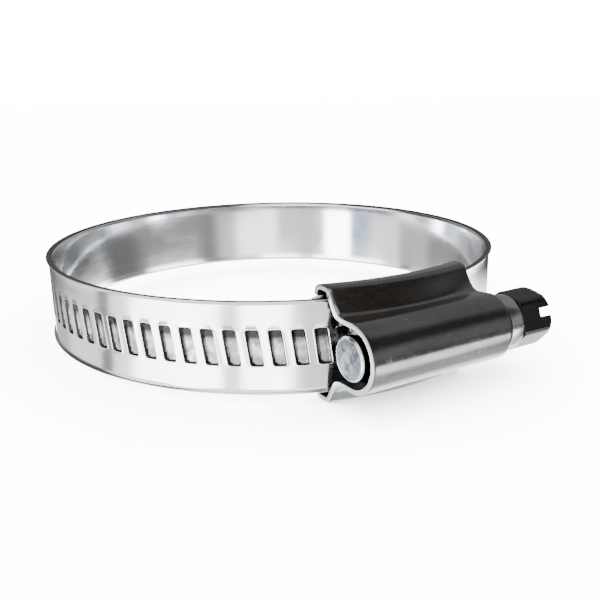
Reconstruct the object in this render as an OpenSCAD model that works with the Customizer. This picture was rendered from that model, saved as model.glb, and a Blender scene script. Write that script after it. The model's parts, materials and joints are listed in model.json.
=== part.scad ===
// Worm-drive hose clamp with a pressed-thread band, set near its largest size.
// The hose's axis is Z and the origin is at the middle of the band's width.

/* [Band] */
// Radius of the hose that the closed band holds
bore_r = 34; // [33:0.5:35]
// Width of the band
band_w = 12; // [11.6:0.1:12]
// Thickness of the band
band_t = 0.8; // [0.7:0.05:0.8]
// How far the rolled edges stand out from the band's face
edge_out = 0.45; // [0.3:0.05:0.45]
// Height of each rolled edge
edge_h = 0.9; // [0.7:0.1:1.2]

/* [Pressed thread] */
// Pockets that would fill one whole turn of the band
teeth_per_turn = 80; // [79:1:81]
// Length of a pocket across the band
pocket_l = 4.7; // [4.4:0.1:5]
// Width of a pocket along the band
pocket_w = 1.7; // [1.6:0.05:1.8]
// Depth of a pocket
pocket_d = 0.5; // [0.45:0.01:0.55]

/* [Housing] */
// Thickness of the housing's sheet
sheet = 0.7; // [0.6:0.05:0.7]
// Thickness of the saddle under the band's two ends
saddle_t = 0.5; // [0.4:0.05:0.5]
// Where the housing's open end is, along the screw
housing_from = -11.6; // [-11.9:0.1:-11.3]
// Where the folds end, along the screw
housing_to = 9.7; // [9.4:0.1:9.7]
// Radius of the tunnel that the worm turns in
tunnel_r = 3.7; // [3.7:0.01:3.75]

/* [Screw] */
// Radius over the worm's thread
crest_r = 3.55; // [3.45:0.05:3.55]
// Radius of the worm between its threads
core_r = 2.75; // [2.65:0.05:2.8]
// Size of the hexagon across its flats
hex_flats = 7; // [6.5:0.1:7]
// Width of the screwdriver slot
slot_w = 1.2; // [1:0.1:1.4]
// Depth of the screwdriver slot
slot_d = 2.2; // [1.5:0.1:2.4]

/* [Hidden] */
$fn = 96;

steel = [0.80, 0.81, 0.84];
dark_steel = [0.36, 0.37, 0.38];
half_w = band_w / 2;

// The screw lies square to this direction from the hose's axis
screw_az = -61;
// Angle along the band between two pockets
pitch_angle = 360 / teeth_per_turn;

// The toothed end runs on an arc of its own, which meets the round of the loop at toothed_tangent
// and clears the saddle and the fixed end at seat_az.
toothed_tangent = -180;
seat_az = -65;
end_clearance = 0.3;
toothed_inner = bore_r + saddle_t + band_t + end_clearance;
toothed_shift = (toothed_inner - bore_r) / (1 - cos(toothed_tangent - seat_az));
toothed_r = bore_r + toothed_shift;
toothed_centre = [toothed_shift, 0];

// The fixed end's side of the loop rises on another arc, on to the saddle.
fixed_tangent = 30;
entry_az = -49;
entry_gap = 0.25;
fixed_shift = (saddle_t + entry_gap) / (1 - cos(fixed_tangent - entry_az));
fixed_r = bore_r + fixed_shift;
fixed_centre = -fixed_shift * [cos(fixed_tangent), sin(fixed_tangent)];

// The loop bends at knuckles this far apart
link_angle = 25;
toothed_link_angle = 5.5 * pitch_angle;
toothed_left = toothed_tangent + 2 * toothed_link_angle;
tail_az = -47.5;
knuckle_r = band_t / 2 - 0.03;
knuckle_gap = 0.06;
// A knuckle stops this far short of the rolled edges
knuckle_short = 0.2;
// Sockets in the rolled edges are wider, from a little below the edge to well past it
socket_under = 0.1;
socket_over = 0.5;
// The strip is plain and a little narrower from here to its end in the housing
plain_from = -38;
plain_gap = 0.1;

// Pockets lie at whole pitches from this one
first_pocket = screw_az - 0.65 * pitch_angle;
last_pocket = -168;
// No pocket's middle is closer than this angle to the end of its piece
pocket_margin = 2;
mesh_depth = 0.4;
axis_dist = toothed_shift * cos(screw_az) + toothed_r + band_t + crest_r - mesh_depth;
mesh_r = toothed_r + band_t - mesh_depth / 2;
thread_pitch = 2 * PI * mesh_r / teeth_per_turn;
lead_angle = atan(thread_pitch / (2 * PI * (crest_r - mesh_depth / 2)));

// Places along the screw, from the foot of its axis
tip_at = -12.1;
thread_from = -10.6;
thread_to = 6.5;
journal_from = 7.8;
neck_from = 9.7;
collar_from = 10.4;
hex_from = 13.3;
hex_to = 18.5;
tube_from = 8.1;
lip_from = 9.8;
tube_to = 10.3;
neck_r = 2.75;
collar_r = 3.75;
journal_gap = 0.07;
tip_r = 2.8;
// How far a corner of the hexagon and the slot are turned up from level
hex_turn = 10;
slot_turn = 24;
chamfer = 0.45;

// Folds of the housing over the band's edges
fold_in_r = bore_r + 3.3;
fold_lip_r = bore_r + 0.05;
fold_z = half_w + 0.05;
fold_round = 1.5;
// The saddle's ends, which stand a little out of the folds
saddle_from = -83.5;
saddle_to = -44;

// Points on a quarter circle
function corner(c, r, from, steps = 6) =
    [for (i = [0 : steps]) c + r * [cos(from + 90 * i / steps), sin(from + 90 * i / steps)]];

function back_to_front(points) = [for (i = [len(points) - 1 : -1 : 0]) points[i]];

// Cross-section of the band, its inner face at radius r, with both edges rolled outwards
function band_section(r) = [
    [r + edge_out, half_w], [r, half_w - edge_h], [r, edge_h - half_w], [r + edge_out, -half_w],
    [r + edge_out + band_t, -half_w], [r + band_t, edge_h - half_w],
    [r + band_t, half_w - edge_h], [r + edge_out + band_t, half_w]
];

// Cross-section of the band where its edges aren't rolled, a little narrower
module plain_section(r) translate([r, plain_gap - half_w]) square([band_t, band_w - 2 * plain_gap]);

// Part of a ring, from one azimuth to another, counter-clockwise
module ring_part(from, to) rotate([0, 0, from]) rotate_extrude(angle = to - from) children();

module band_arc(centre, r, from, to)
    translate(centre) ring_part(from, to) polygon(band_section(r));

// Stands something at a knuckle, on the middle of the band's thickness
module at_knuckle(centre, r, az)
    translate(centre) rotate([0, 0, az]) translate([r + band_t / 2, 0, 0]) children();

// Round end of a link, which its neighbour's socket takes
module knuckle(centre, r, az)
    at_knuckle(centre, r, az)
        cylinder(r = knuckle_r, h = band_w - 2 * (edge_h + knuckle_short), center = true);

// What a link loses at its socket, with more room at the rolled edges
module socket(centre, r, az) at_knuckle(centre, r, az) {
    wide_h = socket_under + edge_h + socket_over;
    cylinder(r = knuckle_r + knuckle_gap, h = band_w + 1, center = true);
    for (side = [-1, 1])
        translate([0, 0, side * (half_w + socket_over - wide_h / 2)])
            cylinder(r = knuckle_r + edge_out + 2 * knuckle_gap, h = wide_h, center = true);
}

// Pressed pockets of the band between two azimuths, slanted like the worm's thread
module pockets(from, to)
    translate(toothed_centre)
        for (n = [ceil((from - first_pocket) / pitch_angle) : floor((to - first_pocket) / pitch_angle)])
            rotate([0, 0, first_pocket + n * pitch_angle])
                translate([toothed_r + band_t, 0, 0])
                    rotate([lead_angle, 0, 0])
                        cube([2 * pocket_d, pocket_w, pocket_l], center = true);

// One link of the loop: a round end at "to" and a socket at "from"
module link(centre, r, from, to) color(steel) {
    difference() {
        union() {
            band_arc(centre, r, from, to);
            knuckle(centre, r, to);
        }
        socket(centre, r, from);
        children();
    }
}

// Frame of the screw: X along it to its head, Y towards the hose's axis, which is at Y = 0
module along_screw() rotate([0, 0, screw_az + 90]) children();

// Something round about the screw's axis
module on_screw(at) along_screw() translate([at, -axis_dist, 0]) rotate([0, 90, 0]) children();

module fold_section() {
    outer_r = fold_in_r + sheet;
    fold_root = tunnel_r + sheet / 2;
    polygon(concat(
        [[outer_r, fold_root]],
        corner([outer_r - fold_round, fold_z], fold_round, 0),
        corner([fold_lip_r + fold_round, fold_z], fold_round, 90),
        back_to_front(corner([fold_lip_r + fold_round, fold_z], fold_round - sheet, 90)),
        back_to_front(corner([outer_r - fold_round, fold_z], fold_round - sheet, 0)),
        [[fold_in_r, fold_root]]
    ));
}

// One pressed sheet: a fold over each edge of the band, with the worm's tunnel between them
module housing() color(dark_steel) {
    length = housing_to - housing_from;
    intersection() {
        for (side = [0, 1])
            mirror([0, 0, side]) ring_part(screw_az - 25, screw_az + 35) fold_section();
        along_screw() translate([housing_from, -axis_dist, -band_w]) cube([length, axis_dist, 2 * band_w]);
    }
    difference() {
        along_screw() translate([housing_from, -axis_dist, 0]) rotate([90, 0, 90])
            linear_extrude(length) tunnel_section();
        cylinder(r = fold_in_r + sheet / 2, h = band_w, center = true);
    }
    // The tube behind the folds, with a lip at its end and room below for the band
    difference() {
        on_screw(tube_from) cylinder(r = tunnel_r + sheet, h = tube_to - tube_from);
        on_screw(tube_from - 1) cylinder(r = tunnel_r, h = lip_from - tube_from + 1);
        on_screw(tube_from - 1) cylinder(r = neck_r + journal_gap, h = tube_to - tube_from + 2);
        cylinder(r = fold_in_r, h = band_w, center = true);
    }
}

// The tunnel from its end: a half round with straight legs towards the hose
module tunnel_section() difference() {
    union() {
        circle(r = tunnel_r + sheet);
        translate([0, -tunnel_r - sheet]) square([axis_dist, 2 * (tunnel_r + sheet)]);
    }
    circle(r = tunnel_r);
    translate([0, -tunnel_r]) square([axis_dist + 1, 2 * tunnel_r]);
}

// Plate between the hose and the band's ends, held in the folds
module saddle() color(steel)
    ring_part(saddle_from, saddle_to)
        translate([bore_r, -fold_z]) square([saddle_t, 2 * fold_z]);

// The end of the band that is welded to the saddle
module band_fixed_end() color(steel)
    ring_part(seat_az - 3, seat_az + 13) plain_section(bore_r + saddle_t);

// The free end, which the worm draws through the housing
module band_toothed_end() color(steel) difference() {
    band_arc(toothed_centre, toothed_r, toothed_left, tail_az);
    socket(toothed_centre, toothed_r, toothed_left);
    pockets(toothed_left + pocket_margin, tail_az - pocket_margin);
}

// Links are numbered from the toothed end, clockwise round the loop
module toothed_link(n) {
    to = toothed_left - (n - 1) * toothed_link_angle;
    from = to - toothed_link_angle;
    link(toothed_centre, toothed_r, from, to)
        pockets(max(from + pocket_margin, last_pocket), to - pocket_margin);
}

module round_link(n)
    link([0, 0], bore_r, 180 - (n - 2) * link_angle, 180 - (n - 3) * link_angle);

module fixed_link(n)
    link(fixed_centre, fixed_r, fixed_tangent - (n - 8) * link_angle, fixed_tangent - (n - 9) * link_angle);

// The last link lies plain and free in the housing, beside the fixed end
module last_link() color(steel) {
    band_arc(fixed_centre, fixed_r, plain_from, fixed_tangent - 2 * link_angle);
    knuckle(fixed_centre, fixed_r, fixed_tangent - 2 * link_angle);
    translate(fixed_centre) ring_part(entry_az, plain_from + 1) plain_section(fixed_r);
}

module screw() color(dark_steel) {
    on_screw(tip_at) cylinder(r1 = tip_r - chamfer, r2 = tip_r, h = chamfer);
    on_screw(tip_at + chamfer) cylinder(r = tip_r, h = thread_from - tip_at - chamfer);
    on_screw(thread_from) cylinder(r = core_r, h = journal_from - thread_from);
    on_screw(journal_from) cylinder(r = tunnel_r - journal_gap, h = neck_from - journal_from);
    on_screw(neck_from) cylinder(r = neck_r, h = collar_from - neck_from);
    on_screw(collar_from) cylinder(r = collar_r, h = hex_from - collar_from - chamfer);
    on_screw(hex_from - chamfer) cylinder(r1 = collar_r, r2 = collar_r - chamfer, h = chamfer);
    hex_head();
}

// Hexagon with a chamfered end and a screwdriver slot
module hex_head() {
    length = hex_to - hex_from;
    corner_r = hex_flats / sqrt(3);
    difference() {
        intersection() {
            on_screw(hex_from) rotate([0, 0, 30 - hex_turn]) cylinder(r = corner_r, h = length, $fn = 6);
            union() {
                on_screw(hex_from) cylinder(r = corner_r + chamfer, h = length - 2 * chamfer);
                on_screw(hex_to - 2 * chamfer)
                    cylinder(r1 = corner_r + chamfer, r2 = corner_r - chamfer, h = 2 * chamfer);
            }
        }
        on_screw(hex_to - slot_d) rotate([0, 0, -slot_turn])
            translate([-slot_w / 2, -corner_r - 1, 0]) cube([slot_w, 2 * corner_r + 2, slot_d + 1]);
    }
}

// The thread: a left-handed ridge wound on the core, whose crest meets the pocket at first_pocket
module worm_thread() {
    steps = 24;
    root_half = 0.6;
    crest_half = 0.33;
    root_r = core_r - 0.15;
    mesh_at = toothed_shift * cos(screw_az + 90) + mesh_r * sin(first_pocket - screw_az);
    count = floor((thread_to - thread_from) / thread_pitch * steps);
    // The ridge rises and dies away over a third of a turn at each end
    function rise(i) = min(1, 3 * (i + 0.1) / steps, 3 * (count - i + 0.1) / steps);
    function at(i) = thread_from + thread_pitch * i / steps;
    function angle(i) = -360 * (at(i) - mesh_at) / thread_pitch;
    function point(i, along, r) = [at(i) + along, r * cos(angle(i)) - axis_dist, r * sin(angle(i))];
    function ring(i) = let (top_r = core_r + (crest_r - core_r) * rise(i)) [
        point(i, -root_half, root_r), point(i, -crest_half, top_r),
        point(i, crest_half, top_r), point(i, root_half, root_r)
    ];
    points = [for (i = [0 : count]) each ring(i)];
    sides = [for (i = [0 : count - 1]) for (k = [0 : 3])
        let (a = 4 * i + k, b = 4 * i + (k + 1) % 4) each [[a, a + 4, b + 4], [a, b + 4, b]]];
    color(steel) along_screw()
        polyhedron(points, concat([[0, 1, 2, 3]], sides, [[for (k = [3 : -1 : 0]) 4 * count + k]]));
}

module band_link_01() toothed_link(1);
module band_link_02() toothed_link(2);
module band_link_03() round_link(3);
module band_link_04() round_link(4);
module band_link_05() round_link(5);
module band_link_06() round_link(6);
module band_link_07() round_link(7);
module band_link_08() round_link(8);
module band_link_09() fixed_link(9);
module band_link_10() fixed_link(10);
module band_link_11() last_link();

housing();
saddle();
screw();
worm_thread();
band_fixed_end();
band_toothed_end();
band_link_01();
band_link_02();
band_link_03();
band_link_04();
band_link_05();
band_link_06();
band_link_07();
band_link_08();
band_link_09();
band_link_10();
band_link_11();
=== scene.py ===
"""Looks of the worm-drive hose clamp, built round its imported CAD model.

Lengths are in millimetres until a mesh is made. The band is described by its azimuth about the hose's
axis. The housing and the screw are described by "s", the place along the screw, by "d", the distance out
from the hose's axis, and by Z.
"""

import json
import math

import bpy
import numpy as np
from mathutils import Matrix, Vector


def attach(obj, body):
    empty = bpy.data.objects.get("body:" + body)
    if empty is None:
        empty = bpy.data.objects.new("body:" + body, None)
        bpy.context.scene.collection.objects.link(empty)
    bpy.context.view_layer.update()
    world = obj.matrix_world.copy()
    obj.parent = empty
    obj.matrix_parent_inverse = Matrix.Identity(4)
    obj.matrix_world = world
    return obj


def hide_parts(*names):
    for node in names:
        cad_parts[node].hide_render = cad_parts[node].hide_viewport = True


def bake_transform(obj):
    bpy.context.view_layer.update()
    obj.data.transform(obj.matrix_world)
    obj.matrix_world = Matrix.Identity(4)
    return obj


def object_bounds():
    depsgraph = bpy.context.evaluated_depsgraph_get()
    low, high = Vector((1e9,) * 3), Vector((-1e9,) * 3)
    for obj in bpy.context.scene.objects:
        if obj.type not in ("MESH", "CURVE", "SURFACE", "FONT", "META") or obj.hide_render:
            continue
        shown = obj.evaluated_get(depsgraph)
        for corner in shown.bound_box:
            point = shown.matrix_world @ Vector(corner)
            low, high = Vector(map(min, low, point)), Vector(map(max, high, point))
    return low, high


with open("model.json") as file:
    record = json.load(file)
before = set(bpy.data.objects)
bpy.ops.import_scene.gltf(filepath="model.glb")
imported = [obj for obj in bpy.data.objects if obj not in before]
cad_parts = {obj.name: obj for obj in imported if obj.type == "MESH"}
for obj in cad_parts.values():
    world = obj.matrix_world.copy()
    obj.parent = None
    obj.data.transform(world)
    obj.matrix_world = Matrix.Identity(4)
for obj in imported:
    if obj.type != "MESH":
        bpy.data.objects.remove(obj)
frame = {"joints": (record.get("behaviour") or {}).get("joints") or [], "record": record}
cad_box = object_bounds()

MM = 0.001

# Band
BAND_W = 12.0
BAND_T = 0.8
ROLL_H = 0.62
ROLL_OUT = 0.38
EDGE_ROUND = 0.13
CAP_POINTS = 6
TAIL_AZ = -47.5
ENTRY_AZ = -49.0
TAIL_CORNER = 2.6
PLAIN_STEP = 1.25

# Pressed pockets. PITCH is the angle from one to the next, and LEAD is their slant
PITCH = 4.5
FIRST_POCKET = -63.925
POCKETS_BEFORE = 3
POCKETS_AFTER = 23
POCKET_W = 1.7
POCKET_L = 4.7
POCKET_D = 0.5
POCKET_CORNER = 0.34
RAMP_W = 0.42
WALL_W = 0.16
LEAD = math.radians(7.6)

# Housing
SHEET = 0.7
BARREL_R = 4.4
HOUSING_FROM = -11.6
FOLD_TO = 9.7
LIP_FROM = 9.8
TUBE_TO = 10.3
CUT_ROUND = 0.1
# The folds' ends have a corner this long across the sheet and along the screw
FOLD_CORNER = (2.4, 1.1)

# Saddle and the end of the band that is welded to it
SADDLE_T = 0.5
SADDLE_AZ = (-83.5, -44.0)
SADDLE_HALF_W = 6.05
WELDED_AZ = (-68.0, -52.0)

# Screw
CREST_R = 3.52
CORE_R = 2.75
THREAD_PITCH = 2.806
THREAD_FROM = -10.6
THREAD_TO = 6.5
TIP_AT = -12.1
TIP_R = 2.8
JOURNAL_FROM = 7.8
JOURNAL_R = 3.63
NECK_FROM = 9.7
NECK_R = 2.75
COLLAR_FROM = 10.4
COLLAR_R = 3.75
HEX_FROM = 13.3
HEX_TO = 18.5
HEX_FLATS = 7.0
HEX_TURN = math.radians(20)
SLOT_W = 1.2
SLOT_D = 2.2
SLOT_TURN = math.radians(24)

# Studio. VIEW_TURN is the camera's pan, tilt and roll away from the origin
FLOOR_SIZE = 900.0
PAPER_WHITE = 16.0
VIEW_AZ = -90.0
VIEW_EL = 14.78
VIEW_DISTANCE = 126.65
VIEW_TURN = (-2.149, -2.096, -1.603)
LENS = 45.5


# ---------------------------------------------------------------- frame of the part

def flat(v):
    """A position of the record, in metres, as X and Y in millimetres."""
    return np.array([v[0], v[1]]) / MM


joints = {j["name"]: j for j in frame["joints"]}
mounts = {m["name"]: m for m in frame["record"]["mounts"]}
hinges = [flat(joints[f"loop_bend_{n:02d}"]["pos_m"]) for n in range(1, 12)]
bore_r = mounts["hose_bore"]["dims"]["r_mm"]
mid_r = bore_r + BAND_T / 2

# The screw's axis is level: screw_out points from the hose's axis square to it
screw_axis = np.array(joints["screw_turn"]["axis"][:2])
screw_foot = flat(joints["screw_turn"]["pos_m"])
axis_dist = float(np.linalg.norm(screw_foot))
screw_out = screw_foot / axis_dist


class Arc:
    """Part of the loop, by its centre and the radius of the band's inner face."""

    def __init__(self, centre, inner_r):
        self.centre = np.array(centre, float)
        self.r = inner_r

    def azimuth(self, point):
        x, y = point - self.centre
        return math.degrees(math.atan2(y, x))

    def points(self, az, out):
        a = np.radians(az)
        r = self.r + out
        return self.centre[0] + r * np.cos(a), self.centre[1] + r * np.sin(a)


toothed_centre = flat(joints["toothed_end_feed"]["pos_m"])
toothed = Arc(toothed_centre, float(np.linalg.norm(hinges[0] - toothed_centre)) - BAND_T / 2)
rounded = Arc((0, 0), bore_r)
# The last arc meets the round one at the ninth hinge and passes through the eleventh
leave = hinges[8] / np.linalg.norm(hinges[8])
shift = (hinges[10] @ hinges[10] - mid_r**2) / (2 * (mid_r - hinges[10] @ leave))
entry = Arc(-shift * leave, bore_r + shift)


def toward(az, el=0.0):
    """Unit vector in a direction given in degrees."""
    a, e = math.radians(az), math.radians(el)
    return (math.cos(a) * math.cos(e), math.sin(a) * math.cos(e), math.sin(e))


def smooth(x):
    """0 below 0 and 1 above 1, with a smooth rise between."""
    x = np.clip(x, 0, 1)
    return x * x * (3 - 2 * x)


# ---------------------------------------------------------------- mesh helpers

def make_object(name, verts, faces, materials, face_material=None, normals=None, uv=None, flat_from=None):
    """A mesh object from points in millimetres, with one normal and one UV pair for each point.
    Faces from the one numbered flat_from on keep their own normals."""
    mesh = bpy.data.meshes.new(name)
    mesh.from_pydata((np.asarray(verts, float) * MM).tolist(), [], faces)
    for m in materials:
        mesh.materials.append(m)
    if face_material is not None:
        mesh.polygons.foreach_set("material_index", np.asarray(face_material, np.int32))
    mesh.polygons.foreach_set("use_smooth", np.ones(len(faces), bool))
    corners = np.zeros(len(mesh.loops), np.int32)
    mesh.loops.foreach_get("vertex_index", corners)
    if uv is not None:
        layer = mesh.uv_layers.new(name="UVMap")
        layer.data.foreach_set("uv", np.asarray(uv, np.float32)[corners].ravel())
    mesh.update()
    if normals is not None:
        at_corners = np.asarray(normals, float)[corners]
        for face in mesh.polygons[flat_from:]:
            at_corners[face.loop_start:face.loop_start + face.loop_total] = face.normal
        mesh.normals_split_custom_set(at_corners.tolist())
    obj = bpy.data.objects.new(name, mesh)
    bpy.context.scene.collection.objects.link(obj)
    return obj


def grid_quads(rows, cols, first=0, wrap=False):
    """Faces of a grid of points. wrap joins its last column to its first."""
    last = cols if wrap else cols - 1
    return [
        (first + i * cols + j, first + (i + 1) * cols + j,
         first + (i + 1) * cols + (j + 1) % cols, first + i * cols + (j + 1) % cols)
        for i in range(rows - 1) for j in range(last)
    ]


def grid_normals(points, wrap=True):
    """Normals of a grid of points, rows by columns, out of the side that grid_quads faces."""
    along = np.gradient(points, axis=0)
    if wrap:
        ahead = np.roll(points, -1, axis=1) - points
        behind = points - np.roll(points, 1, axis=1)
        ahead /= np.linalg.norm(ahead, axis=2, keepdims=True) + 1e-12
        behind /= np.linalg.norm(behind, axis=2, keepdims=True) + 1e-12
        across = ahead + behind
    else:
        across = np.gradient(points, axis=1)
    n = np.cross(along, across)
    return n / (np.linalg.norm(n, axis=2, keepdims=True) + 1e-12)


def at_screw(s, d, z):
    """Points of the screw's frame as X, Y, Z."""
    s, d, z = np.broadcast_arrays(s, d, z)
    xy = s[..., None] * screw_axis + d[..., None] * screw_out
    return np.concatenate([xy, z[..., None]], axis=-1)


def lathe(name, profile, materials, segments=96, bands=None):
    """A turned piece about the screw's axis from (s, radius) pairs. bands gives each step's material."""
    profile = np.array(profile, float)
    turn = np.arange(segments) * 2 * math.pi / segments
    d = axis_dist + profile[:, 1:] * np.cos(turn)
    z = profile[:, 1:] * np.sin(turn)
    points = at_screw(profile[:, :1], d, z)
    faces = grid_quads(len(profile), segments, wrap=True)
    kinds = np.repeat(bands if bands is not None else np.zeros(len(profile) - 1, int), segments)
    return make_object(name, points.reshape(-1, 3), faces, materials, kinds)


def round_path(points, steps=6):
    """A line through (x, y, radius) corners, each rounded by its radius."""
    out = []
    for i, (x, y, r) in enumerate(points):
        p = np.array([x, y], float)
        if r == 0 or i in (0, len(points) - 1):
            out.append(p)
            continue
        a = np.array(points[i - 1][:2], float) - p
        b = np.array(points[i + 1][:2], float) - p
        a, b = a / np.linalg.norm(a), b / np.linalg.norm(b)
        half = math.acos(np.clip(a @ b, -1, 1)) / 2
        centre = p + (a + b) / np.linalg.norm(a + b) * r / math.sin(half)
        start = p + a * r / math.tan(half) - centre
        end = p + b * r / math.tan(half) - centre
        turn = math.atan2(start[0] * end[1] - start[1] * end[0], start @ end)
        for k in range(steps + 1):
            c, s = math.cos(turn * k / steps), math.sin(turn * k / steps)
            out.append(centre + np.array([c * start[0] - s * start[1], s * start[0] + c * start[1]]))
    return np.array(out)


def split_long(path, longest):
    """The same line with its long stretches divided."""
    out = [path[0]]
    for a, b in zip(path[:-1], path[1:]):
        n = max(1, math.ceil(np.linalg.norm(b - a) / longest))
        out += [a + (b - a) * k / n for k in range(1, n + 1)]
    return np.array(out)


def sides(path):
    """Unit vectors to the left of a line, at its points."""
    step = np.gradient(path, axis=0)
    step /= np.linalg.norm(step, axis=1, keepdims=True)
    return np.stack([-step[:, 1], step[:, 0]], axis=1)


# ---------------------------------------------------------------- materials

class Shader:
    """A node material whose nodes are added by name and joined by their sockets."""

    def __init__(self, name, **uniform):
        self.material = bpy.data.materials.new(name)
        self.material.use_nodes = True
        self.tree = self.material.node_tree
        self.bsdf = self.tree.nodes["Principled BSDF"]
        for socket, value in uniform.items():
            self.bsdf.inputs[socket.replace("_", " ")].default_value = value

    def add(self, kind, inputs=None, **settings):
        node = self.tree.nodes.new(kind)
        for key, value in settings.items():
            setattr(node, key, value)
        for key, value in (inputs or {}).items():
            if isinstance(value, bpy.types.NodeSocket):
                self.tree.links.new(value, node.inputs[key])
            else:
                node.inputs[key].default_value = value
        return node

    def coordinates(self, kind, scale, turn=0.0):
        """Texture coordinates of a kind, turned about Z, then scaled."""
        source = self.add("ShaderNodeTexCoord").outputs[kind]
        turned = self.add("ShaderNodeMapping", {"Vector": source, "Rotation": (0, 0, turn)})
        return self.add("ShaderNodeMapping", {"Vector": turned.outputs[0], "Scale": scale}).outputs[0]

    def noise(self, vector, scale, detail=4.0, rough=0.5):
        values = {"Vector": vector, "Scale": scale, "Detail": detail, "Roughness": rough}
        return self.add("ShaderNodeTexNoise", values).outputs["Fac"]

    def spread(self, value, low, high, start=0.3, end=0.7):
        """A 0 to 1 value spread from low to high."""
        values = {"Value": value, "From Min": start, "From Max": end, "To Min": low, "To Max": high}
        return self.add("ShaderNodeMapRange", values).outputs[0]

    def mix(self, share, a, b):
        node = self.add("ShaderNodeMix", data_type="RGBA")
        for key, value in (("Factor", share), ("A", a), ("B", b)):
            socket = next(s for s in node.inputs if s.name == key and s.enabled)
            if isinstance(value, bpy.types.NodeSocket):
                self.tree.links.new(value, socket)
            else:
                socket.default_value = value
        return next(s for s in node.outputs if s.enabled)

    def maths(self, operation, a, b):
        node = self.add("ShaderNodeMath", operation=operation)
        for i, value in enumerate((a, b)):
            if isinstance(value, bpy.types.NodeSocket):
                self.tree.links.new(value, node.inputs[i])
            else:
                node.inputs[i].default_value = value
        return node.outputs[0]

    def bump(self, height, depth, strength=1.0):
        """Bump of a 0 to 1 height that is depth millimetres deep."""
        values = {"Height": height, "Distance": depth * MM, "Strength": strength}
        node = self.add("ShaderNodeBump", values)
        self.tree.links.new(node.outputs[0], self.bsdf.inputs["Normal"])

    def set(self, socket, value):
        self.tree.links.new(value, self.bsdf.inputs[socket])


def grey(level, warm=0.0):
    return (level * (1 + warm), level, level * (1 - warm), 1.0)


def bright_zinc():
    """The band's rolled faces: bright plate with fine lines along the strip and faint stains."""
    m = Shader("bright_zinc", Metallic=1.0)
    lines = m.noise(m.coordinates("UV", (1.2, 60.0, 1.0)), 9.0, 3.0, 0.6)
    cloud = m.noise(m.coordinates("UV", (1.0, 1.0, 1.0)), 14.0, 4.0, 0.55)
    specks = m.noise(m.coordinates("UV", (1.0, 1.0, 1.0)), 260.0, 2.0, 0.6)
    stain = m.mix(m.spread(cloud, 0, 1, 0.35, 0.7), (0.84, 0.855, 0.88, 1), (0.77, 0.785, 0.815, 1))
    m.set("Base Color", m.mix(m.spread(specks, 0, 0.35, 0.62, 0.75), stain, grey(0.6)))
    rough = m.maths("ADD", m.spread(lines, 0.0, 0.04), m.spread(cloud, 0.07, 0.13))
    m.set("Roughness", rough)
    m.bump(lines, 0.004, 0.35)
    return m.material


def pressed_floor():
    """The floors of the pockets, left rough by the die, with painted shade at their upper ends, where the upper
    wall shades them.
    """
    m = Shader("pressed_floor", Metallic=1.0)
    place = m.coordinates("UV", (1.0, 1.0, 1.0))
    grain = m.noise(place, 75.0, 5.0, 0.65)
    height = m.add("ShaderNodeSeparateXYZ", {"Vector": place}).outputs["Y"]
    painted_shade_height = m.maths("ADD", height, m.maths("MULTIPLY", grain, 0.008))
    bare = m.mix(m.spread(grain, 0, 1, 0.35, 0.65), grey(0.16, -0.02), grey(0.5, -0.02))
    # Painted shade: the floor turns nearly black towards the pocket's upper end, with a ragged edge.
    m.set("Base Color", m.mix(m.spread(painted_shade_height, 0, 1, 0.008, 0.017), bare, grey(0.03)))
    m.set("Roughness", m.spread(grain, 0.42, 0.24))
    m.bump(grain, 0.05, 0.7)
    return m.material


def pocket_wall():
    """The steep walls of the pockets, dull, and painted nearly black as the shade in the recess."""
    m = Shader("pocket_wall", Metallic=1.0)
    grain = m.noise(m.coordinates("UV", (1.0, 1.0, 1.0)), 120.0, 4.0, 0.6)
    # Painted shade: the walls' colour is kept nearly black.
    m.set("Base Color", m.mix(m.spread(grain, 0, 1), grey(0.015), grey(0.06)))
    m.set("Roughness", m.spread(grain, 0.45, 0.3))
    m.bump(grain, 0.03, 0.5)
    return m.material


def cut_edge(name, level):
    """Edges that the shears left, with fine lines across the sheet, as bright as level makes them."""
    m = Shader(name, Metallic=1.0)
    lines = m.noise(m.coordinates("Object", (1.0, 1.0, 0.35)), 5200.0, 3.0, 0.6)
    m.set("Base Color", m.mix(m.spread(lines, 0, 1), grey(level * 0.82, -0.01), grey(level, -0.01)))
    m.set("Roughness", m.spread(lines, 0.44, 0.3))
    m.bump(lines, 0.02, 0.5)
    return m.material


def dark_nickel():
    """The housing: dark bright plate, with drawing lines along the screw, pits and light rub marks."""
    m = Shader("dark_nickel", Metallic=1.0)
    turn = -math.atan2(screw_axis[1], screw_axis[0])
    lines = m.noise(m.coordinates("Object", (0.06, 1.0, 1.0), turn), 4200.0, 3.0, 0.6)
    cloud = m.noise(m.coordinates("Object", (0.4, 1.0, 1.0), turn), 260.0, 4.0, 0.6)
    rub = m.noise(m.coordinates("Object", (0.5, 1.0, 1.0), turn), 1900.0, 6.0, 0.72)
    tint = m.mix(m.spread(cloud, 0, 1, 0.35, 0.68), (0.2, 0.205, 0.197, 1), (0.16, 0.15, 0.145, 1))
    m.set("Base Color", m.mix(m.spread(rub, 0, 0.75, 0.6, 0.74), tint, grey(0.4)))
    rough = m.maths("ADD", m.spread(lines, 0.0, 0.06), m.spread(rub, 0.13, 0.25, 0.45, 0.75))
    m.set("Roughness", rough)
    m.bump(m.maths("ADD", m.maths("MULTIPLY", lines, 0.4), rub), 0.006, 0.4)
    return m.material


def black_inside():
    """The housing's inner face, painted nearly black as the shade where it lies against the band."""
    m = Shader("housing_inside", Metallic=1.0)
    grain = m.noise(m.coordinates("Object", (1.0, 1.0, 1.0)), 900.0, 4.0, 0.6)
    # Painted shade: nearly black all over.
    m.set("Base Color", m.mix(m.spread(grain, 0, 1), grey(0.02), grey(0.06)))
    m.set("Roughness", m.spread(grain, 0.3, 0.5))
    m.bump(grain, 0.01, 0.4)
    return m.material


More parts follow.
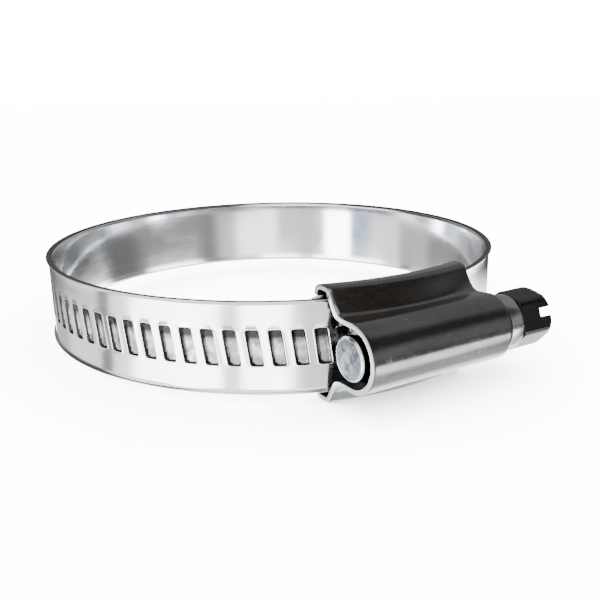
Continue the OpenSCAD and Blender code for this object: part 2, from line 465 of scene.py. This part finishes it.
def turned_steel(name, level, grain_depth):
    """The screw: plated steel with a fine grain."""
    m = Shader(name, Metallic=1.0)
    grain = m.noise(m.coordinates("Object", (1.0, 1.0, 1.0)), 1500.0, 5.0, 0.6)
    cloud = m.noise(m.coordinates("Object", (1.0, 1.0, 1.0)), 330.0, 3.0, 0.5)
    tint = m.mix(m.spread(cloud, 0, 1), grey(level, 0.015), grey(level * 0.78, 0.02))
    m.set("Base Color", m.mix(m.spread(grain, 0, 0.5, 0.58, 0.72), tint, grey(min(1, level * 1.6))))
    m.set("Roughness", m.spread(grain, 0.16, 0.28))
    m.bump(grain, grain_depth, 0.4)
    return m.material


def rough_tip():
    """The screw's end, left coarse where it was cropped."""
    m = Shader("rough_tip", Metallic=1.0)
    grain = m.noise(m.coordinates("Object", (1.0, 1.0, 1.0)), 1250.0, 6.0, 0.7)
    dark, light = (0.09, 0.095, 0.11, 1), (0.36, 0.38, 0.42, 1)
    m.set("Base Color", m.mix(m.spread(grain, 0, 1, 0.38, 0.62), dark, light))
    m.set("Roughness", m.spread(grain, 0.5, 0.3))
    m.bump(grain, 0.12, 0.9)
    return m.material


def plain_zinc():
    """Bright plate for the pieces that have no strip coordinates."""
    m = Shader("zinc_plain", Metallic=1.0)
    grain = m.noise(m.coordinates("Object", (1.0, 1.0, 1.0)), 900.0, 5.0, 0.6)
    m.set("Base Color", m.mix(m.spread(grain, 0, 1), (0.8, 0.81, 0.84, 1), (0.68, 0.69, 0.72, 1)))
    m.set("Roughness", m.spread(grain, 0.16, 0.3))
    m.bump(grain, 0.01, 0.4)
    return m.material


zinc = bright_zinc()
floor_metal = pressed_floor()
wall_metal = pocket_wall()
# Painted reflection and shade: the band's cut edges are made nearly black for the dark line along its rims.
band_cut = cut_edge("band_cut_edge", 0.045)
nickel = dark_nickel()
inside = black_inside()
housing_cut = cut_edge("housing_cut_edge", 0.92)
screw_steel = turned_steel("screw_steel", 0.045, 0.012)
collar_steel = turned_steel("collar_steel", 0.42, 0.008)
tip_metal = rough_tip()
zinc_plain = plain_zinc()


# ---------------------------------------------------------------- band

def pocket_depth(u, z):
    """Depth below the band's face at a distance u along it from a pocket's middle, and at a height z."""
    qx = np.abs(u) - (POCKET_W / 2 - POCKET_CORNER)
    qz = np.abs(z) - (POCKET_L / 2 - POCKET_CORNER)
    outside = np.hypot(np.maximum(qx, 0), np.maximum(qz, 0)) - POCKET_CORNER
    outside = outside + np.minimum(np.maximum(qx, qz), 0)
    # The wall at the lower azimuth is a ramp, and the others are steep
    wall = smooth((0.02 - outside) / np.where(u < -POCKET_W / 4, RAMP_W, WALL_W))
    ends = smooth((np.abs(z) / (POCKET_L / 2) - 0.42) / 0.58)
    rim = 0.03 * np.exp(-(((outside - 0.08) / 0.06) ** 2))
    return POCKET_D * wall * (1 - 0.3 * ends) - rim


def band_profile():
    """The strip's section as a loop of (out, z) points, up its inner face and down its outer one, with
    masks of the outer face's points and of the cut edges' points."""
    top = BAND_W / 2
    bend = [k / 6 for k in range(7)]
    straight = top - ROLL_H
    heights = [0, 0.7, 1.3, 1.75]
    heights += [POCKET_L / 2 + e for e in (-0.34, -0.2, -0.12, -0.06, 0.0, 0.06, 0.13, 0.26)]
    heights += [3.2, 4.3]
    heights += [straight + ROLL_H * b * (1 - EDGE_ROUND / ROLL_H) for b in bend]
    heights = sorted(set(round(h, 4) for h in heights))
    column = np.array([-h for h in heights[:0:-1]] + heights)

    def roll(z):
        x = np.clip((np.abs(z) - straight) / ROLL_H, 0, 1)
        return ROLL_OUT * (1 - np.sqrt(1 - 0.75 * x * x)) / 0.5

    tip_out = roll(np.array(top))
    cap = []
    for a in np.radians([60, 30, 0]):
        cap.append((tip_out + EDGE_ROUND * (1 - math.sin(a)), top - EDGE_ROUND * (1 - math.cos(a))))
    far = tip_out + BAND_T
    for a in np.radians([0, 30, 60]):
        cap.append((far - EDGE_ROUND * (1 - math.sin(a)), top - EDGE_ROUND * (1 - math.cos(a))))
    cap = np.array(cap)
    inner = np.stack([roll(column), column], axis=1)
    outer = np.stack([roll(column) + BAND_T, column], axis=1)[::-1]
    loop = np.concatenate([inner, cap, outer, cap[::-1] * [1, -1]])
    is_outer = np.zeros(len(loop), bool)
    is_outer[len(inner) + len(cap):len(inner) + len(cap) + len(outer)] = True
    is_cut = np.zeros(len(loop), bool)
    # The outer corner of each edge is plated like the face
    is_cut[len(inner) - 1:len(inner) + CAP_POINTS // 2 + 1] = True
    is_cut[-CAP_POINTS // 2 - 1:] = True
    return loop, is_outer, is_cut


def pocket_stations():
    """Azimuths across one pitch, clustered at the pocket's walls, from its middle."""
    half = POCKET_W / 2
    side = [0, 0.3] + [half + e for e in (-0.42, -0.3, -0.2, -0.12, -0.06, 0, 0.06, 0.13, 0.26)]
    angle = [math.degrees(u / (toothed.r + BAND_T)) for u in side]
    return [-a for a in angle[:0:-1]] + angle


def between(a, b):
    """Evenly spaced azimuths from a to b, without b."""
    n = max(1, round(abs(b - a) / PLAIN_STEP))
    return [a + (b - a) * k / n for k in range(n)]


def band_stations():
    """Every cross-section of the strip from its tail, clockwise round the loop: (arc, azimuth) pairs."""
    cell = pocket_stations()
    pockets = [FIRST_POCKET + PITCH * k for k in range(POCKETS_BEFORE, -POCKETS_AFTER - 1, -1)]
    first_ridge = pockets[0] + PITCH / 2
    last_ridge = pockets[-1] - PITCH / 2
    azimuths = [TAIL_AZ - a for a in (0, 0.15, 0.4, 0.8)] + [first_ridge]
    for p in pockets:
        azimuths += [p - a for a in cell] + [p - PITCH / 2]
    azimuths += between(last_ridge, -180)[1:]
    stations = [(toothed, a) for a in sorted(set(azimuths), reverse=True)]
    join = entry.azimuth(hinges[8])
    stations += [(rounded, a) for a in between(180, join)]
    stations += [(entry, a) for a in between(join, ENTRY_AZ)] + [(entry, ENTRY_AZ)]
    return stations


def band_grid():
    """Points, UVs and stations of the whole strip."""
    loop, is_outer, is_cut = band_profile()
    stations = band_stations()
    out, z = loop[:, 0], loop[:, 1]
    # The section leans with the pockets, and stands straight again by the edges
    lean_to, lean_end = 2.7, 1.9
    straighten = 1 - smooth((np.abs(z) - lean_to) / lean_end)
    slope = -math.tan(LEAD) * np.where(np.abs(z) < lean_to, z, np.sign(z) * lean_to * straighten)
    length = 0.0
    points, uv = [], []
    for i, (arc, az) in enumerate(stations):
        if i:
            before = stations[i - 1]
            step = abs(az - before[1]) if before[0] is arc else 0.0
            length += math.radians(step) * (arc.r + BAND_T / 2)
        toothed_part = 0.0
        depth = np.zeros(len(loop))
        if arc is toothed:
            number = np.clip(round((az - FIRST_POCKET) / PITCH), -POCKETS_AFTER, POCKETS_BEFORE)
            nearest = FIRST_POCKET + PITCH * number
            u = math.radians(az - nearest) * (arc.r + BAND_T)
            toothed_part = float(smooth((az + 175) / 5) * smooth((TAIL_AZ - az) / 1.2))
            depth = np.where(is_outer, pocket_depth(u, z), 0.0)
        turned = az + np.degrees(slope * toothed_part / (arc.r + BAND_T))
        reach = min(length, TAIL_CORNER)
        narrow = 1 - (TAIL_CORNER - math.sqrt(TAIL_CORNER**2 - (TAIL_CORNER - reach) ** 2)) / (BAND_W / 2)
        x, y = arc.points(turned, out - depth)
        points.append(np.stack([x, y, z * narrow], axis=1))
        uv.append(np.stack([np.full(len(z), length), z * narrow + np.where(is_outer, 0, 20)], axis=1) / 100)
    return np.array(points), np.array(uv), stations, is_outer, is_cut


def cap_faces(cols):
    """Faces over the end of a strip, between the two sides of its section."""
    half = cols // 2
    width = half - CAP_POINTS
    faces = [(j, j + 1, cols - CAP_POINTS - 2 - j, cols - CAP_POINTS - 1 - j) for j in range(width - 1)]
    top = tuple(range(width - 1, half + 1))
    bottom = tuple(range(cols - CAP_POINTS - 1, cols)) + (0,)
    return faces + [top, bottom]


def build_band():
    """The strip in twelve pieces, each from the middle of one link to the middle of the next."""
    points, uv, stations, is_outer, is_cut = band_grid()
    loop_z = band_profile()[0][:, 1]
    normals = grid_normals(points)
    cols = points.shape[1]
    links = ["toothed_end"] + [f"link_{n:02d}" for n in range(1, 12)]
    arcs = [toothed] * 3 + [rounded] * 6 + [entry] * 3
    hinge_az = [arcs[n + 1].azimuth(h) for n, h in enumerate(hinges)]
    hinge_az[2] = 180.0

    def index_of(arc, az):
        return min((i for i, s in enumerate(stations) if s[0] is arc), key=lambda i: abs(stations[i][1] - az))

    def middle(n):
        """The station nearest the middle of link n, on a ridge between two pockets where it has them."""
        before = -180.0 if n == 3 else hinge_az[n - 1]
        if n == 0:
            az = hinge_az[0] + 12
        elif n == 2:
            az = (hinge_az[1] - 180) / 2
        else:
            az = (hinge_az[n - 1] + hinge_az[n]) / 2
        if arcs[n] is toothed:
            ridge = FIRST_POCKET - PITCH / 2
            az = ridge + PITCH * round((az - ridge) / PITCH)
        return index_of(arcs[n], az)

    cuts = [0] + [middle(n) for n in range(11)] + [len(stations) - 1]
    for n, name in enumerate(links):
        i0, i1 = cuts[n], cuts[n + 1]
        rows = i1 - i0 + 1
        part = points[i0:i1 + 1].reshape(-1, 3)
        part_normals = normals[i0:i1 + 1].reshape(-1, 3)
        part_uv = uv[i0:i1 + 1].reshape(-1, 2)
        faces = grid_quads(rows, cols, wrap=True)
        # How far each point lies below the outer face
        face_r = np.array([s[0].r + BAND_T for s in stations[i0:i1 + 1]])
        depth = face_r[:, None] - np.array([
            np.hypot(points[i, :, 0] - s[0].centre[0], points[i, :, 1] - s[0].centre[1])
            for i, s in zip(range(i0, i1 + 1), stations[i0:i1 + 1])
        ])
        flat_z = (np.abs(loop_z) < POCKET_L / 2 + 0.3) & is_outer
        deep = (depth > 0.45 * POCKET_D) & flat_z
        sunk = (depth > 0.03) & flat_z
        kinds = []
        for i in range(rows - 1):
            for j in range(cols):
                k = (j + 1) % cols
                corners = [(i, j), (i + 1, j), (i, k), (i + 1, k)]
                if all(deep[c] for c in corners):
                    kinds.append(1)
                elif any(sunk[c] for c in corners):
                    kinds.append(3)
                else:
                    kinds.append(2 if is_cut[j] and is_cut[k] else 0)
        side_faces = len(faces)
        last_row = len(part) - cols
        faces += cap_faces(cols)
        faces += [tuple(last_row + k for k in reversed(face)) for face in cap_faces(cols)]
        kinds += [2] * (len(faces) - side_faces)
        piece = make_object(
            f"band_{n:02d}" if n else "band_toothed_end_strip", part, faces,
            [zinc, floor_metal, band_cut, wall_metal], kinds, part_normals, part_uv, side_faces,
        )
        if n == 0:
            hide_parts("band_toothed_end")
            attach(piece, "toothed_end")
            continue
        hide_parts(f"band_link_{n:02d}")
        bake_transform(piece)


# ---------------------------------------------------------------- housing

def housing_path():
    """Outer face of the sheet's upper half at the screw's foot, from its lip to the barrel's outermost line."""
    lip_r, top = bore_r - 0.25, 7.55
    fold = round_path([
        (lip_r, BAND_W / 2, 0),
        (lip_r, top, 1.25),
        (36.55, top, 1.15),
        (38.4, BARREL_R, 0.75),
        (axis_dist, BARREL_R, 0),
    ], 7)
    turn = np.radians(np.linspace(90, 0, 25))[1:]
    barrel = np.stack([axis_dist + BARREL_R * np.cos(turn), BARREL_R * np.sin(turn)], axis=1)
    return np.concatenate([split_long(fold, 0.5), barrel])


def build_housing():
    """The pressed sheet. Its folds follow the hose and its barrel follows the screw."""
    upper = housing_path()
    outer = np.concatenate([upper, upper[-2::-1] * [1, -1]])
    inner = outer - sides(outer) * SHEET
    middle = (outer + inner) / 2
    run = np.concatenate([[0], np.cumsum(np.linalg.norm(np.diff(middle, axis=0), axis=1))])
    from_lip = np.minimum(run, run[-1] - run)
    # Where each line of the sheet ends: the folds have a rounded corner, and the barrel runs on as the tube
    x = 1 - np.clip(from_lip / FOLD_CORNER[0], 0, 1)
    fold_end = FOLD_TO - FOLD_CORNER[1] * (1 - np.sqrt(1 - x * x))
    to_tube = smooth((from_lip - 7.0) / 1.1)
    ends = fold_end + (TUBE_TO - 0.02 - fold_end) * to_tube

    def section(s, share):
        """The sheet's loop at s, whose thickness is the share of the full one, as points."""
        rings = []
        for side in (outer, inner):
            p = middle + (side - middle) * share
            follows = 1 - smooth((p[:, 0] - bore_r - 3.6) / 2.0)
            bent = np.sqrt(p[:, 0] ** 2 - s**2)
            rings.append(at_screw(s, p[:, 0] + (bent - p[:, 0]) * follows, p[:, 1]))
        return np.concatenate([rings[0], rings[1][::-1]])

    thin = 1 - 2 * CUT_ROUND / SHEET
    rows = [(0, thin, 0.0), (0, 0.86, 0.3 * CUT_ROUND), (0, 1.0, CUT_ROUND)]
    rows += [(share, 1.0, 0) for share in np.linspace(0, 1, 41)[1:-1]]
    rows += [(1, 1.0, -CUT_ROUND), (1, 0.86, -0.3 * CUT_ROUND), (1, thin, 0)]
    grid = np.array([
        section(HOUSING_FROM + (ends - HOUSING_FROM) * share + nudge, thick) for share, thick, nudge in rows
    ])
    n, cols = len(outer), 2 * len(outer)
    faces = grid_quads(len(rows), cols, wrap=True)
    kinds = []
    for i in range(len(rows) - 1):
        rim = i < 1 or i > len(rows) - 3
        kinds += [1 if rim or j in (n - 1, cols - 1) else 2 * (j >= n) for j in range(cols)]
    last = (len(rows) - 1) * cols
    for j in range(n - 1):
        faces.append((j, j + 1, cols - 2 - j, cols - 1 - j))
        faces.append((last + j + 1, last + j, last + cols - 1 - j, last + cols - 2 - j))
        kinds += [1, 1]
    shell = make_object("housing_shell", grid.reshape(-1, 3), faces, [nickel, housing_cut, inside], kinds)
    shell.data.set_sharp_from_angle(angle=math.radians(50))
    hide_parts("housing")
    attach(shell, "housing")


def build_tube():
    """The ring at the barrel's end, whose lip keeps the screw in."""
    tube_r, lip_r, round_r = BARREL_R - 0.006, NECK_R + 0.07, 0.35
    profile = [(LIP_FROM, lip_r), (LIP_FROM, tube_r - 0.1), (LIP_FROM + 0.1, tube_r)]
    profile.append((TUBE_TO - round_r, tube_r))
    for a in np.radians([20, 45, 70, 90]):
        profile.append((TUBE_TO - round_r * (1 - math.sin(a)), tube_r - round_r * (1 - math.cos(a))))
    profile += [(TUBE_TO, lip_r + 0.13), (TUBE_TO - 0.12, lip_r), (LIP_FROM, lip_r)]
    tube = lathe("housing_tube", profile, [nickel])
    # The ring is flattened below, where the band passes
    for v in tube.data.vertices:
        x, y = np.array(v.co[:2]) / MM - toothed.centre
        low = toothed.r + BAND_T + 0.2
        if math.hypot(x, y) < low:
            x, y = np.array([x, y]) * low / math.hypot(x, y) + toothed.centre
            v.co[0], v.co[1] = x * MM, y * MM
    tube.data.set_sharp_from_angle(angle=math.radians(40))
    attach(tube, "housing")


# ---------------------------------------------------------------- screw

def build_screw():
    """All of the screw that is turned. bands holds the material of each step of its profile."""
    rim, face = 0.35, TIP_AT + 0.04
    profile = [(face, 0.001), (TIP_AT, 0.8), (face, 1.6), (face + 0.04, TIP_R - rim)]
    bands = [0, 0, 0]
    for a in np.radians([22, 45, 68, 90]):
        profile.append((face + 0.04 + rim * (1 - math.cos(a)), TIP_R - rim * (1 - math.sin(a))))
        bands.append(1)
    collar_round = 0.25
    profile += [
        (THREAD_FROM - 0.2, TIP_R), (THREAD_FROM, CORE_R), (JOURNAL_FROM, CORE_R),
        (JOURNAL_FROM, JOURNAL_R - 0.13), (JOURNAL_FROM + 0.15, JOURNAL_R), (NECK_FROM, JOURNAL_R),
        (NECK_FROM, NECK_R), (COLLAR_FROM, NECK_R), (COLLAR_FROM, COLLAR_R - collar_round),
    ]
    bands += [2] * 9
    for a in np.radians([0, 30, 60, 90]):
        out = COLLAR_R - collar_round * (1 - math.sin(a))
        profile.append((COLLAR_FROM + collar_round * (1 - math.cos(a)), out))
        bands.append(3)
    shoulder = 0.6
    for a in np.radians([0, 22, 45, 68, 90]):
        profile.append((HEX_FROM - shoulder * (1 - math.sin(a)), COLLAR_R - shoulder * (1 - math.cos(a))))
        bands.append(3)
    profile.append((HEX_FROM, 1.0))
    bands.append(3)
    body = lathe("screw_body", profile, [tip_metal, zinc_plain, screw_steel, collar_steel], 128, bands)
    body.data.set_sharp_from_angle(angle=math.radians(40))
    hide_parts("screw")
    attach(body, "screw")


def hex_radius(turn, corner):
    """Distance from the axis to a hexagon with softened corners, at an angle from one of its flats."""
    flat_r = HEX_FLATS / 2
    local = (turn + math.pi / 6) % (math.pi / 3) - math.pi / 6
    straight = flat_r / np.cos(local)
    return -np.logaddexp(-straight * corner, -(flat_r / math.cos(math.pi / 6) - 0.12) * corner) / corner


def build_hex():
    """The hexagon, chamfered at its end, with the slot cut across it."""
    segments = 144
    turn = np.arange(segments) * 2 * math.pi / segments
    hex_r = hex_radius(turn, 14.0)
    full = HEX_FLATS / math.sqrt(3)
    # How far before the head's end, and how much the chamfer takes off its corners there
    chamfer = [(1.2, -0.2), (0.9, 0), (0.6, 0.18), (0.35, 0.4), (0.15, 0.66), (0.05, 0.86), (0, 1.1)]
    levels = [(HEX_TO - HEX_FROM + 0.1, -5), (5.0, -5), (2.8, -5)] + chamfer
    points = []
    for before, less in levels:
        r = -np.logaddexp(-hex_r * 18, -(full - less) * 18) / 18
        d = axis_dist + r * np.cos(turn + HEX_TURN)
        points.append(at_screw(HEX_TO - before, d, r * np.sin(turn + HEX_TURN)))
    grid = np.array(points).reshape(-1, 3)
    faces = grid_quads(len(levels), segments, wrap=True)
    faces.append(tuple(range(segments)))
    last = (len(levels) - 1) * segments
    faces.append(tuple(range(last + segments - 1, last - 1, -1)))
    head = make_object("screw_hex", grid, faces, [screw_steel])
    half, reach = SLOT_W / 2, 6
    corners = []
    for s in (HEX_TO - SLOT_D, HEX_TO + 1.7):
        for across, along in ((-half, -reach), (half, -reach), (half, reach), (-half, reach)):
            d = across * math.sin(SLOT_TURN) + along * math.cos(SLOT_TURN)
            z = -across * math.cos(SLOT_TURN) + along * math.sin(SLOT_TURN)
            corners.append(at_screw(s, axis_dist + d, np.array(z)))
    box = [(0, 1, 2, 3), (7, 6, 5, 4), (0, 4, 5, 1), (1, 5, 6, 2), (2, 6, 7, 3), (3, 7, 4, 0)]
    cutter = make_object("slot_cutter", np.array(corners), box, [])
    cut = head.modifiers.new("slot", "BOOLEAN")
    cut.object = cutter
    cut.operation = "DIFFERENCE"
    cut.solver = "EXACT"
    bevel = head.modifiers.new("soft_edges", "BEVEL")
    bevel.width = 0.07 * MM
    bevel.segments = 2
    bevel.limit_method = "ANGLE"
    bevel.angle_limit = math.radians(45)
    graph = bpy.context.evaluated_depsgraph_get()
    done = bpy.data.meshes.new_from_object(head.evaluated_get(graph))
    head.modifiers.clear()
    head.data = done
    bpy.data.objects.remove(cutter)
    head.data.set_sharp_from_angle(angle=math.radians(35))
    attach(head, "screw")


def build_thread():
    """The worm's left-handed ridge, which rises and dies away at its ends."""
    steps = 48
    mesh_r = toothed.r + BAND_T - 0.2
    # The ridge meets the band in the middle of its first pocket
    mesh_at = float((toothed.centre + mesh_r * np.array(toward(FIRST_POCKET)[:2])) @ screw_axis)
    count = int((THREAD_TO - THREAD_FROM) / THREAD_PITCH * steps)
    flank = [(0.62, 0), (0.42, 0.62), (0.33, 0.9), (0.2, 1)]
    ridge = [(-along, up) for along, up in flank] + flank[::-1]
    points = []
    for i in range(count + 1):
        s = THREAD_FROM + THREAD_PITCH * i / steps
        rise = float(smooth(min(i, count - i) / (steps * 0.35)))
        angle = -2 * math.pi * (s - mesh_at) / THREAD_PITCH
        row = []
        for along, up in ridge:
            r = CORE_R - 0.1 + (CREST_R - CORE_R + 0.1) * up * max(rise, 0.12)
            d = np.array(axis_dist - r * math.cos(angle))
            row.append(at_screw(s + along, d, r * math.sin(angle)))
        points.append(row)
    cols = len(ridge)
    faces = grid_quads(count + 1, cols, wrap=True)
    faces.append(tuple(range(cols)))
    faces.append(tuple(range(count * cols + cols - 1, count * cols - 1, -1)))
    thread = make_object("worm_ridge", np.array(points).reshape(-1, 3), faces, [collar_steel])
    thread.data.set_sharp_from_angle(angle=math.radians(50))
    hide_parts("worm_thread")
    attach(thread, "screw")


# ---------------------------------------------------------------- hidden plates

def build_plate(name, node, inner_r, thick, half_w, azimuths, corner):
    """A curved plate against the hose, with rounded corners and soft edges."""
    middle_r = inner_r + thick / 2
    start, stop = (math.radians(a) * middle_r for a in azimuths)
    soft = 0.12
    rim = [(soft, 0.0), (0.3 * soft, 0.3 * soft), (0.0, soft)]
    rim += [(e, thick - r) for e, r in reversed(rim)]
    ahead = [k / 6 for k in range(6)]
    reach = [corner * (1 - math.cos(math.radians(90 * a))) for a in ahead]
    along = [start + r for r in reach]
    along += list(np.linspace(start + corner, stop - corner, 40)) + [stop - r for r in reversed(reach)]
    across = np.linspace(-1, 1, 9)
    rows = []
    for u in along:
        to_end = min(u - start, stop - u, corner)
        half = half_w - corner + math.sqrt(max(corner**2 - (corner - to_end) ** 2, 0))
        row = [(u, -half + e, r) for e, r in reversed(rim)]
        row += [(u, (half - soft) * a, 0.0) for a in across[1:-1]]
        row += [(u, half - e, r) for e, r in rim]
        row += [(u, (half - soft) * a, thick) for a in reversed(across[1:-1])]
        rows.append(row)
    grid = np.array(rows)
    turn, out = grid[..., 0] / middle_r, inner_r + grid[..., 2]
    points = np.stack([out * np.cos(turn), out * np.sin(turn), grid[..., 1]], axis=-1)
    cols = points.shape[1]
    faces = grid_quads(len(rows), cols, wrap=True)
    end = (len(rows) - 1) * cols
    faces += [tuple(range(cols - 1, -1, -1)), tuple(range(end, end + cols))]
    plate = make_object(name, points.reshape(-1, 3), faces, [zinc_plain])
    plate.data.set_sharp_from_angle(angle=math.radians(40))
    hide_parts(node)
    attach(plate, "housing")


def build_hidden():
    """The saddle, and the band's end that is welded to it."""
    build_plate("saddle_plate", "saddle", bore_r, SADDLE_T, SADDLE_HALF_W, SADDLE_AZ, 2.5)
    strip_r, half_w = bore_r + SADDLE_T, BAND_W / 2 - 0.1
    build_plate("welded_strip_end", "band_fixed_end", strip_r, BAND_T, half_w, WELDED_AZ, 1.5)


# ---------------------------------------------------------------- studio

class Sky(Shader):
    """The studio round the object, as a node tree over directions."""

    def __init__(self, name):
        world = bpy.data.worlds.new(name)
        world.use_nodes = True
        bpy.context.scene.world = world
        # Light samples of the world would see neither of its two looks, so only real rays meet it
        world.cycles.sampling_method = "NONE"
        self.tree = world.node_tree
        self.background = self.tree.nodes["Background"]
        self.way = self.add("ShaderNodeTexCoord").outputs["Generated"]
        self.height = self.add("ShaderNodeSeparateXYZ", {"Vector": self.way}).outputs["Z"]
        level = self.add("ShaderNodeVectorMath", {0: self.way, 1: (1, 1, 0)}, operation="MULTIPLY").outputs[0]
        self.level_way = self.add("ShaderNodeVectorMath", {0: level}, operation="NORMALIZE").outputs[0]

    def ramp(self, value, start, end):
        """0 at start to 1 at end, smoothly."""
        node = self.add("ShaderNodeMapRange", {"Value": value, "From Min": start, "From Max": end})
        node.interpolation_type = "SMOOTHSTEP"
        return node.outputs[0]

    def near(self, way, direction, inner, outer):
        """1 within inner degrees of a direction, falling to 0 at outer degrees."""
        dot = self.add("ShaderNodeVectorMath", {0: way, 1: direction}, operation="DOT_PRODUCT")
        start, end = math.cos(math.radians(outer)), math.cos(math.radians(inner))
        return self.ramp(dot.outputs["Value"], start, end)

    def above(self, elevation, soft):
        """1 above an elevation in degrees, 0 below it."""
        low, high = (math.sin(math.radians(elevation + e)) for e in (-soft, soft))
        return self.ramp(self.height, low, high)

    def times(self, *values):
        out = values[0]
        for v in values[1:]:
            out = self.maths("MULTIPLY", out, v)
        return out


def build_sky():
    """White all round for the eye and the floor. The metal reflects a studio of its own: the ground, a table
    low down that the band's outer face shows, a wall that its inner face shows, a dim room and a softbox."""
    sky = Sky("studio")

    def lobes(tone, places):
        """A tone round the horizon with patches: azimuth, half widths and brightness."""
        for az, inner, outer, level in places:
            tone = sky.mix(sky.near(sky.level_way, toward(az), inner, outer), tone, grey(level))
        return tone

    table = lobes(grey(9.0), (
        (-70, 8, 20, 1.5), (-113.5, 1, 7, 2.6), (-20, 38, 50, 0.45), (-27, 12, 22, 7.5), (-175, 5, 14, 2.4),
        (166, 10, 16, 1.65), (150, 12, 18, 1.65), (177.5, 2, 6, 0.35), (128, 10, 18, 0.8), (70, 25, 40, 4.0),
    ))
    wall = lobes(grey(1.2), (
        (-82, 8, 16, 3.4), (-36, 16, 26, 0.3), (-134, 5, 11, 14.0), (-167, 6, 12, 1.7), (170, 8, 16, 0.8),
        (146, 10, 18, 0.4), (118, 10, 20, 0.22), (-8, 10, 22, 0.28), (14, 10, 20, 0.14), (36, 12, 22, 0.07),
        (66, 18, 30, 0.03), (101, 6, 14, 0.05),
    ))
    wall = sky.mix(sky.near(sky.level_way, toward(-148), 4, 8), wall, (0.62, 0.85, 1.15, 1))
    ground = lobes((1.75, 1.9, 1.95, 1), ((68, 22, 40, 4.6),))
    room = sky.mix(sky.near(sky.way, toward(58, 48), 28, 46), grey(0.12), grey(0.42))
    room = sky.mix(sky.near(sky.level_way, toward(85), 30, 60), room, grey(0.4))
    shade = sky.mix(sky.above(25, 8), (0.5, 0.52, 0.52, 1), (0.1, 0.088, 0.082, 1))
    room = sky.mix(sky.near(sky.level_way, toward(-34), 20, 50), room, shade)
    front = sky.times(sky.near(sky.level_way, toward(-125), 38, 60), sky.above(-2, 4))
    room = sky.mix(sky.times(front, sky.maths("SUBTRACT", 1.0, sky.above(35, 10))), room, grey(3.0))
    tone = sky.mix(sky.above(-36, 6), ground, table)
    tone = sky.mix(sky.above(-15.5, 1.5), tone, wall)
    tone = sky.mix(sky.above(-1, 3), tone, room)
    softbox = sky.near(sky.way, toward(-115, 62), 18, 26)
    tone = sky.mix(softbox, tone, grey(2.2))
    rays = sky.add("ShaderNodeLightPath").outputs["Is Glossy Ray"]
    sky.tree.links.new(sky.mix(rays, grey(PAPER_WHITE), tone), sky.background.inputs["Color"])


def build_floor():
    low = cad_box[0].z / MM
    corners = [(x * FLOOR_SIZE, y * FLOOR_SIZE, low) for x, y in ((-1, -1), (1, -1), (1, 1), (-1, 1))]
    paper = Shader("paper", Roughness=0.9, Specular_IOR_Level=0.0)
    grain = paper.noise(paper.coordinates("Object", (1.0, 1.0, 1.0)), 60.0, 3.0, 0.5)
    paper.set("Base Color", paper.mix(paper.spread(grain, 0, 1), grey(0.97), grey(0.95)))
    floor = make_object("floor", corners, [(0, 1, 2, 3)], [paper.material])
    floor.visible_glossy = False


def build_camera():
    """The photograph's viewpoint, found from the round of the band."""
    data = bpy.data.cameras.new("camera")
    camera = bpy.data.objects.new("camera", data)
    bpy.context.scene.collection.objects.link(camera)
    place = Vector(toward(VIEW_AZ, VIEW_EL)) * VIEW_DISTANCE
    back = place.normalized()
    right = Vector((0, 0, 1)).cross(back).normalized()
    facing = Matrix((right, back.cross(right), back)).transposed()
    pan, tilt, roll = (Matrix.Rotation(math.radians(a), 3, k) for a, k in zip(VIEW_TURN, "YXZ"))
    camera.matrix_world = Matrix.Translation(place * MM) @ (facing @ pan @ tilt @ roll).to_4x4()
    data.sensor_width = 36
    data.lens = LENS
    data.clip_start = 0.005
    bpy.context.scene.camera = camera


build_band()
build_housing()
build_tube()
build_screw()
build_hex()
build_thread()
build_hidden()
build_sky()
build_floor()
build_camera()
